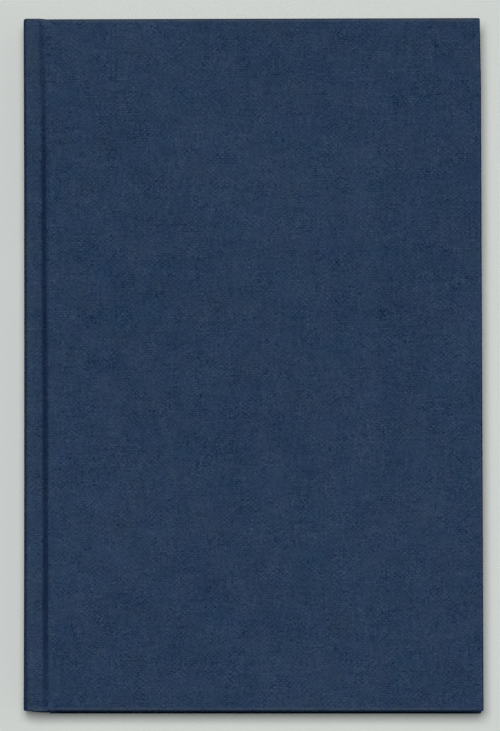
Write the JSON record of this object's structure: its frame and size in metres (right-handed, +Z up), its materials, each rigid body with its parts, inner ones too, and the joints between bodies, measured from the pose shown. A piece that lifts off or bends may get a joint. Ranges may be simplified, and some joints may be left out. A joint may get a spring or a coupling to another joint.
{
  "type": "hardback book",
  "caption": "Closed cloth-covered hardback book with a square spine, pressed joint grooves and covers that open flat either side of a solid page block.",
  "frame": {"origin": "middle of the underside of the closed book as it lies on its back cover", "axes": "+X from the spine to the fore edge, +Y from the tail to the head, +Z up out of the front cover"},
  "size_m": [0.147, 0.2224, 0.03],
  "materials": {
    "cover_cloth": "matte",
    "page_paper": "matte",
    "endpaper": "matte",
    "band_cloth": "matte",
    "mull": "matte",
    "kraft_lining": "matte",
    "grey_board": "matte"
  },
  "bodies": {
    "text_block": {"page_block": "page_paper", "front_endpaper": "endpaper", "back_endpaper": "endpaper", "spine_mull": "mull", "spine_lining": "kraft_lining", "head_band": "band_cloth", "tail_band": "band_cloth", "spine_board": "grey_board", "spine_cloth": "cover_cloth"},
    "front_cover": {"front_board": "grey_board", "front_cloth": "cover_cloth", "front_mull": "mull", "front_pastedown": "endpaper"},
    "back_cover": {"back_board": "grey_board", "back_cloth": "cover_cloth", "back_mull": "mull", "back_pastedown": "endpaper"}
  },
  "joints": [
    {"name": "front_cover_hinge", "type": "hinge", "parent": "text_block", "child": "front_cover", "pos_m": [-0.0702, 0, 0.02825], "axis": [0, -1, 0], "range_deg": [0, 179.5]},
    {"name": "back_cover_hinge", "type": "hinge", "parent": "text_block", "child": "back_cover", "pos_m": [-0.0702, 0, 0.00175], "axis": [0, 1, 0], "range_deg": [0, 179.5]}
  ]
}
